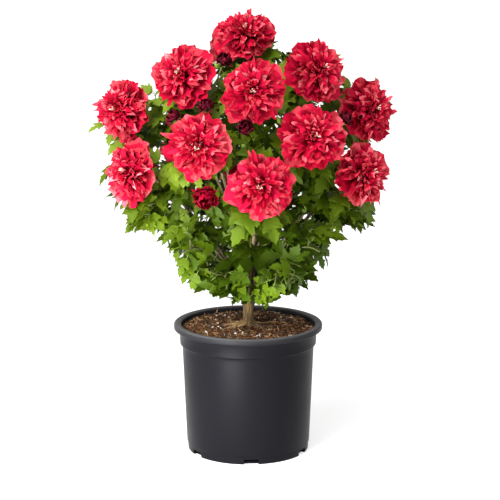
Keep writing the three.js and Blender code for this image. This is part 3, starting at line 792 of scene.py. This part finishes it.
def makeBud(heap, middle, way, radius, shades, seed):  # short petals, crumpled shut over a ball
    rng = np.random.default_rng(seed)
    for ring, (count, slant) in enumerate(bud["rings"]):
        for i in range(count):
            angle = (i + 0.5 * ring) * 360 / count + rng.uniform(-14, 14)
            lean = radians(slant + rng.uniform(-8, 8))
            far = radius * rng.uniform(0.9, 1.12)
            tip = (far * sin(lean), far * cos(lean))
            shape = drawnForm(budForm, rng, ruffle=0.14 * radius, pleat=0.02 * radius, crinkle=0.04 * radius)
            foot = (0.1 * radius, -0.75 * radius)
            bend = (1.1 * radius * sin(min(lean + 0.5, 1.6)), 0.1 * radius)
            ends = [shades[0]] * 3 + [shades[1], shades[rng.integers(1, 3)]]
            broad = bud["width"] * radius * rng.uniform(0.8, 1.1)
            addPetal(heap, placeAt(middle, way, angle), [foot, bend, tip], broad, shape, ends)


for i, place in enumerate(darkBuds):
    tip, way = budStand(*place)
    makeBud(darkHeap, tip, way, bud["radius"], list(budColours), bud["darkSeed"] + i)
    addCalyx(calyces, tip - way * bud["radius"], way, bud["calyx"])
tip, way = budStand(*halfOpen)
makeBud(crowds, tip, way, bud["openRadius"], ["petalDeep", "petalDeep", "petalCrimson"], bud["openSeed"])
addCalyx(calyces, tip - way * bud["openRadius"], way, bud["openCalyx"])

petalShades = shadesBy(petalShade, petalColours)
threadShades = {"cream": petalShade("stamenCream", (0.8, 0.62, 0.5)),
                "blush": petalShade("petalBlush", (0.8, 0.3, 0.3))}
bloomNodes = [f"foliage_{shoot['name']}" for shoot in flowering]
pieceFrom(guards, "guardPetals", petalShades, bloomNodes)
pieceFrom(crowds, "crowdedPetals", petalShades, bloomNodes)
pieceFrom(threads, "stamens", threadShades, bloomNodes)
pieceFrom(calyces, "calyces", {"sepal": leafShade("sepalGreen", (0.13, 0.25, 0.04))}, bloomNodes)
pieceFrom(darkHeap, "darkBuds", shadesBy(petalShade, budColours, Sheen_Weight=0), bloomNodes)
pieceFrom(budTwigs, "budTwigs", {"stalk": leafShade("budTwigSkin", (0.22, 0.24, 0.07))}, bloomNodes)


# green buds at some of the twig tips: a pointed egg in a collar of narrow bracts

# outline: shares of the length and of the radius; a bract's row: radius, rise and half width
greenBud = {"every": 4, "length": 13, "radius": 4.2, "rise": 0.4, "sides": 8, "bracts": 6,
            "outline": [(0, 0.3), (0.2, 0.85), (0.45, 1.0), (0.75, 0.62), (0.93, 0.2), (1.0, 0.06)],
            "bract": [(3.0, 1, 1.0), (5.0, 4.5, 0.9), (6.4, 8, 0.2)]}
greenHeap = newHeap()
tips = [(place, way) for mass in masses if mass["shoot"]["blooms"] for place, way in mass["tips"]]
for place, way in tips[::greenBud["every"]]:
    rise = unit(way + up * greenBud["rise"])
    centres = [place + rise * greenBud["length"] * along for along, share in greenBud["outline"]]
    radii = [greenBud["radius"] * share for along, share in greenBud["outline"]]
    addTube(greenHeap, centres, radii, greenBud["sides"], "bud")
    addBlades(greenHeap, place, rise, greenBud["bracts"], greenBud["bract"], "bract")
greenShades = {"bud": leafShade("budGreen", (0.27, 0.42, 0.06)),
               "bract": leafShade("bractGreen", (0.16, 0.3, 0.04))}
pieceFrom(greenHeap, "greenBuds", greenShades, bloomNodes)


# pieces shaped in edit mode

def ringTower(profile, sides):  # rings of (radius, height) in millimetres, each extruded from the last
    radius, height = profile[0]
    pickNone()
    bpy.ops.mesh.primitive_circle_add(vertices=sides, radius=radius * mm, location=(0, 0, 0))
    piece = bpy.context.object
    bpy.ops.object.mode_set(mode="EDIT")
    bpy.ops.mesh.select_all(action="SELECT")
    bpy.ops.transform.translate(value=(0, 0, height * mm))
    bpy.ops.mesh.edge_face_add()
    for nextRadius, nextHeight in profile[1:]:
        bpy.ops.mesh.extrude_region_move(TRANSFORM_OT_translate={"value": (0, 0, (nextHeight - height) * mm)})
        grow = nextRadius / radius
        bpy.ops.transform.resize(value=(grow, grow, 1), center_override=(0, 0, nextHeight * mm))
        radius, height = nextRadius, nextHeight
    bpy.ops.mesh.select_all(action="SELECT")
    bpy.ops.mesh.normals_make_consistent(inside=False)
    bpy.ops.object.mode_set(mode="OBJECT")
    return piece


def finishPiece(piece, name, finish, nodes, angle):
    piece.name = piece.data.name = name
    pickNone()
    piece.select_set(True)
    bpy.context.view_layer.objects.active = piece
    bpy.ops.object.shade_smooth_by_angle(angle=radians(angle))
    piece.data.materials.append(finish)
    enrol(piece, nodes)


def arc(middleRadius, middleHeight, size, start, end, steps):
    turns = [radians(start + (end - start) * i / steps) for i in range(steps + 1)]
    return [(middleRadius + size * cos(turn), middleHeight + size * sin(turn)) for turn in turns]


# a shade: share of the way up from lipFrom to lipTo, in metres above the floor, and colour; the lip gets
# lighter upwards, partly as wear and partly as painted highlight, and the last stop paints a glint line along
# the top of the roll
plastic = {"roughness": 0.38, "scuff": 0.08, "specular": 0.07, "lipFrom": 0.186, "lipTo": 0.2,
           "shades": [(0.0, (0.005, 0.005, 0.0066)), (0.35, (0.009, 0.009, 0.011)),
                      (0.84, (0.02, 0.0198, 0.022)), (1.0, (0.085, 0.083, 0.083))]}
hub = 2  # radius of the small face that closes the pot's and the soil's rings


def potPlastic():  # satin black plastic, a little scuffed, with a lip that is lighter partly from wear and partly by painted highlight
    made = newMaterial("potPlastic", Roughness=plastic["roughness"], Specular_IOR_Level=plastic["specular"])
    place = objectPlace(made)
    split = addNode(made, "ShaderNodeSeparateXYZ")
    link(made, place, split.inputs["Vector"])
    # lighter colour up the lip: partly wear, partly painted highlight, with a painted glint line at the very
    # top
    lip = addNode(made, "ShaderNodeMapRange", From_Min=plastic["lipFrom"], From_Max=plastic["lipTo"])
    link(made, split.outputs["Z"], lip.inputs["Value"])
    colourBy(made, rampFrom(made, lip.outputs["Result"], plastic["shades"]))
    roughnessBy(made, noiseOf(made, place, 22, 5), plastic["roughness"] - plastic["scuff"],
                plastic["roughness"] + plastic["scuff"])
    bumpFrom(made, noiseOf(made, place, 900, 2), 0.12, 0.0004)
    return made


def makePot():
    top, rim, roll = pot["height"], pot["rimRadius"], pot["lipRoll"]
    collar, collarFoot, shoulder = pot["collarRadius"], pot["collarFoot"], pot["shoulderRadius"]
    foot, depth, wall = pot["footRadius"] - pot["footStep"], pot["footDepth"], pot["wall"]
    lipFoot, inner = top - pot["lipDepth"], collar - wall
    slope = (shoulder - pot["footRadius"]) / collarFoot
    ledge = pot["footRadius"] + slope * depth
    profile = [(hub, 0), (foot - 1.5, 0)]
    profile += arc(foot - 1.5, 1.5, 1.5, -60, 0, 3)
    profile += [(ledge - pot["footStep"], depth - 0.4), (ledge - 0.3, depth + 0.2), (ledge, depth + 1.2)]
    profile += [(shoulder - 0.2, collarFoot - 8), (shoulder, collarFoot - 3)]
    profile += [(shoulder + 0.5, collarFoot - 1.6), (collar - 0.9, collarFoot - 0.5)]
    profile += [(collar, collarFoot + 0.6), (collar + 0.3, collarFoot + 6)]
    profile += [(collar + 0.8, lipFoot - 1.5), (collar + 1.6, lipFoot - 0.3), (rim - 2.2, lipFoot)]
    profile += arc(rim - 1.6, lipFoot + 1.6, 1.6, -70, 0, 4)
    profile += arc(rim - roll, top - roll, roll, 0, 100, 7)
    profile += [(collar + 3.5, top - 0.5)]
    profile += arc(inner + 3, top - 3.8, 3, 80, 180, 5)
    profile += [(inner, lipFoot - 6), (shoulder - wall, collarFoot - 2), (foot - wall, pot["floor"])]
    profile += [(hub, pot["floor"])]
    piece = ringTower(profile, pot["sides"])
    for i in range(pot["notches"]):
        bearing = radians(pot["notchBearing"] + i * 360 / pot["notches"])
        place = (pot["footRadius"] * cos(bearing) * mm, pot["footRadius"] * sin(bearing) * mm, 0)
        pickNone()
        bpy.ops.mesh.primitive_cube_add(size=1, location=place, rotation=(0, 0, bearing))
        notch = bpy.context.object
        notch.scale = (2 * pot["notchReach"] * mm, pot["notchWidth"] * mm, 2 * pot["notchHeight"] * mm)
        cut = piece.modifiers.new("notch", "BOOLEAN")
        cut.operation, cut.object = "DIFFERENCE", notch
        bpy.context.view_layer.objects.active = piece
        bpy.ops.object.modifier_apply(modifier=cut.name)
        bpy.data.objects.remove(notch)
    finishPiece(piece, "potShell", potPlastic(), ["pot"], 35)


makePot()


# the soil's surface, with bark chips, pale fibres and perlite, and roots that creep over it

def soilFinish():
    made = newMaterial("soilMix", Roughness=0.95, Specular_IOR_Level=0.2)
    crumbs = noiseOf(made, objectPlace(made), 260, 6)
    stops = [(0.3, (0.012, 0.005, 0.001)), (0.48, (0.055, 0.022, 0.005)), (0.6, (0.13, 0.054, 0.017)),
             (0.74, (0.22, 0.11, 0.042))]
    colourBy(made, rampFrom(made, crumbs, stops))
    bumpFrom(made, crumbs, 0.9, 0.003)
    return made


def soilHeight(x, y):
    radius = hypot(x, y)
    share = min(max((soil["inset"] - radius) / (soil["inset"] - soil["padRadius"]), 0), 1)
    lumps = noise.noise(Vector((x, y, 0)) * soil["lumpGrain"]) * soil["lump"]
    crumbs = noise.noise(Vector((x, y, 9)) * soil["crumbGrain"]) * soil["crumb"]
    return soil["edge"] + (soil["top"] - soil["edge"]) * sin(share * pi / 2) + \
        (lumps + crumbs) * min(1, radius / soil["padRadius"])


def makeSoil():
    profile = [(hub, soil["bottom"]), (soil["bottomRadius"], soil["bottom"]),
               (soil["neckRadius"], pot["collarFoot"]), (soil["inset"], pot["collarFoot"] + 8),
               (soil["inset"], soil["edge"])]
    profile += [(radius, soil["top"]) for radius in np.linspace(soil["inset"] - 2.5, hub, soil["rings"])]
    piece = ringTower(profile, soil["sides"])
    for vertex in piece.data.vertices:
        if vertex.co.z > (soil["edge"] + 1) * mm:
            vertex.co.z = soilHeight(vertex.co.x / mm, vertex.co.y / mm) * mm
    finishPiece(piece, "soilBed", soilFinish(), ["soil"], 60)


# a kind: count, shortest and longest length, slimness, roughness and colour
bits = {"seed": 7, "clear": 12, "edge": 3,
        "kinds": {"chipDark": (900, 2.2, 6, 0.35, 0.9, (0.03, 0.013, 0.006)),
                  "chipBrown": (1000, 2.0, 7, 0.3, 0.85, (0.12, 0.048, 0.014)),
                  "chipRed": (420, 1.8, 6, 0.3, 0.85, (0.25, 0.085, 0.02)),
                  "chipFibre": (420, 5.0, 13, 0.09, 0.8, (0.42, 0.26, 0.12)),
                  "chipPerlite": (70, 1.8, 3.4, 0.8, 0.9, (0.85, 0.83, 0.78))}}


def makeSoilBits():
    rng = np.random.default_rng(bits["seed"])
    heap, shades = newHeap(), {}
    corners = np.array([(x, y, z) for x in (-1, 1) for y in (-1, 1) for z in (-1, 1)]) * 0.5
    box = [[0, 1, 3, 2], [4, 6, 7, 5], [0, 4, 5, 1], [2, 3, 7, 6], [0, 2, 6, 4], [1, 5, 7, 3]]
    for kind, (count, shortest, longest, slimness, roughness, colour) in bits["kinds"].items():
        shades[kind] = newMaterial(kind, colour, Roughness=roughness)
        for _ in range(count):
            reach = (soil["inset"] - bits["edge"]) * sqrt(rng.random())
            turn = rng.uniform(0, 2 * pi)
            if reach < bits["clear"]:
                continue
            x, y = reach * cos(turn), reach * sin(turn)
            length = rng.uniform(shortest, longest)
            size = np.array([length, length * slimness * rng.uniform(0.6, 1.3), length * slimness * 0.6])
            way = unit(np.array([rng.normal(), rng.normal(), rng.normal() * 0.35]))
            side = unit(np.cross(way, unit(rng.normal(size=3))))
            shaped = corners * size * rng.uniform(0.6, 1.25, size=(8, 3))
            centre = np.array([x, y, soilHeight(x, y) + rng.uniform(0, 1.6)])
            points = centre + shaped @ np.array([way, side, np.cross(way, side)])
            addMesh(heap, points, box, [kind] * len(box))
    piece = pieceFrom(heap, "soilBits", shades, ["soil"])
    piece.data.polygons.foreach_set("use_smooth", [False] * len(piece.data.polygons))


# a root: bearing at the trunk, bearing and reach of the end, thickness and shade
roots = {"start": 7, "wander": 7, "rise": 2.4, "rings": 14, "sides": 7,
         "lines": [(212, 220, 52, 2.4, "tan"), (240, 232, 34, 2.2, "tan"), (200, 193, 60, 1.5, "tan"),
                   (300, 328, 55, 1.0, "dark"), (330, 345, 66, 0.9, "dark"), (20, 12, 60, 1.1, "tan"),
                   (80, 95, 44, 1.2, "dark"), (150, 138, 58, 1.1, "tan")]}


def makeRoots():
    heap = newHeap()
    for i, (start, end, reach, thick, kind) in enumerate(roots["lines"]):
        centres = []
        for share in np.linspace(0, 1, roots["rings"]):
            bearing = start + (end - start) * share + roots["wander"] * sin(5 * share + i)
            x, y, _ = polar(bearing, roots["start"] + (reach - roots["start"]) * share, 0)
            rise = roots["rise"] * thick * (1 - share) ** 1.5 + 1 - roots["rise"] * share ** 3
            centres.append(np.array([x, y, soilHeight(x, y) + rise]))
        addTube(heap, centres, np.linspace(thick * 1.6, thick * 0.6, roots["rings"]), roots["sides"], kind)
    shades = {"tan": barkFinish("rootTan", (0.13, 0.07, 0.022), (0.38, 0.24, 0.1), 400),
              "dark": barkFinish("rootDark", (0.05, 0.028, 0.015), (0.16, 0.09, 0.05), 400)}
    pieceFrom(heap, "surfaceRoots", shades, ["soil"])


makeSoil()
makeSoilBits()
makeRoots()


# trunk and boughs with the bark's relief

bark = {"ridges": 7, "depth": 0.55, "grain": 0.3}


def barkRelief(place, turn):  # height of the bark over the trunk's round surface, in millimetres
    ridge = sin(bark["ridges"] * turn + 2.2 * noise.noise(Vector(place) * 0.09))
    return bark["depth"] * ridge * abs(ridge) ** 0.5 + bark["grain"] * noise.noise(Vector(place) * 0.5)


def makeTrunk():
    heights = [*np.linspace(0, trunk["flareHeight"], trunk["flareRings"]),
               *np.linspace(trunk["barkFrom"], trunk["tip"] - trunk["ground"], trunk["rings"])]
    profile = [(trunkRadius(trunk["ground"] + h), trunk["ground"] + h) for h in heights]
    piece = ringTower(profile, trunk["sides"])
    for vertex in piece.data.vertices:
        x, y, z = (value / mm for value in vertex.co)
        turn, radius = atan2(y, x), hypot(x, y)
        rise = max(0, 1 - (z - trunk["ground"]) / trunk["flareHeight"]) ** 2
        toes = trunk["flare"] * rise * (0.5 + 0.5 * cos(trunk["toes"] * turn + 0.6))
        bump = barkRelief((x, y, z * 0.25), turn)
        grow = (radius + toes + bump * (1 - rise * 0.5)) / radius
        centre = trunkCentre(z)
        vertex.co = ((x * grow + centre[0]) * mm, (y * grow + centre[1]) * mm, z * mm)
    finish = barkFinish("trunkBarkSkin", (0.045, 0.027, 0.007), (0.18, 0.108, 0.028), 300)
    finishPiece(piece, "trunkBark", finish, ["trunk"], 60)


def makeBoughs():
    noise.seed_set(bough["seed"])  # or noise_vector differs from run to run
    heap = newHeap()
    for shoot in flowering:
        centres = pathPoints(shoot["path"], 0, shoot["from"], bough["rings"])
        radii = np.linspace(bough["radius"], bough["tipRadius"], bough["rings"])
        radii[:len(bough["collar"])] += bough["collar"]
        addTube(heap, centres, radii, bough["sides"], "bough")
    for i, block in enumerate(heap["points"]):
        grain = [noise.noise_vector(Vector(point * (0.7, 0.7, 0.25))) for point in block]
        heap["points"][i] = block + bough["relief"] * np.array(grain)
    finish = barkFinish("boughBarkSkin", (0.13, 0.09, 0.045), (0.3, 0.22, 0.12), 420)
    pieceFrom(heap, "boughBark", {"bough": finish}, [f"bough_{shoot['name']}" for shoot in flowering])


makeTrunk()
makeBoughs()


# floor, light and camera

# soft light from the upper left, with a white surround; a box: place, width, height and watts
studio = {"surround": 0.66, "floorGlow": 0.6, "sun": 1.9, "sunAngle": 50, "sunTilt": 36, "sunTurn": -32,
          "aim": 0.35,
          "boxes": {"keyBox": ((-0.8, -0.9, 1.25), 0.8, 0.8, 15),
                    "lowBox": ((-1.25, -1.5, 0.3), 0.3, 1.0, 14),
                    "strip": ((-0.18, -0.4, 0.12), 0.22, 0.36, 4.4)}}
view = {"place": (0.0029, -2.6, 0.841), "pitch": 11.48, "lens": 124.8, "sensor": 36}


def makeStage():
    pickNone()
    bpy.ops.mesh.primitive_plane_add(size=60, location=(0, 0, 0))
    floor = bpy.context.object
    floor.name = "floor"
    white = newMaterial("floorWhite", (0.6, 0.6, 0.6), Roughness=0.9, Specular_IOR_Level=0.0,
                        Emission_Color=(1, 1, 1, 1), Emission_Strength=studio["floorGlow"])
    floor.data.materials.append(white)


def makeLights():
    world = bpy.data.worlds.new("studio")
    bpy.context.scene.world = world
    world.use_nodes = True
    fill(world.node_tree.nodes["Background"], {"Color": (1, 1, 1, 1), "Strength": studio["surround"]})
    sun = bpy.data.lights.new("sun", "SUN")
    sun.energy, sun.angle = studio["sun"], radians(studio["sunAngle"])
    newObject("sun", sun).rotation_euler = (radians(studio["sunTilt"]), 0, radians(studio["sunTurn"]))
    for name, (place, width, tall, power) in studio["boxes"].items():
        area = bpy.data.lights.new(name, "AREA")
        area.shape, area.size, area.size_y, area.energy = "RECTANGLE", width, tall, power
        box = newObject(name, area, place)
        towards = Vector((0, 0, min(studio["aim"], place[2]))) - box.location
        box.rotation_euler = towards.to_track_quat("-Z", "Y").to_euler()
        box.visible_camera = False
    bpy.context.scene.view_settings.view_transform = "Standard"


def makeCamera():
    camera = bpy.data.cameras.new("camera")
    camera.lens, camera.sensor_width = view["lens"], view["sensor"]
    camera.clip_end = 100
    held = newObject("camera", camera, view["place"])
    held.rotation_euler = (radians(90 - view["pitch"]), 0, 0)
    bpy.context.scene.camera = held


makeStage()
makeLights()
makeCamera()

bpy.context.view_layer.update()
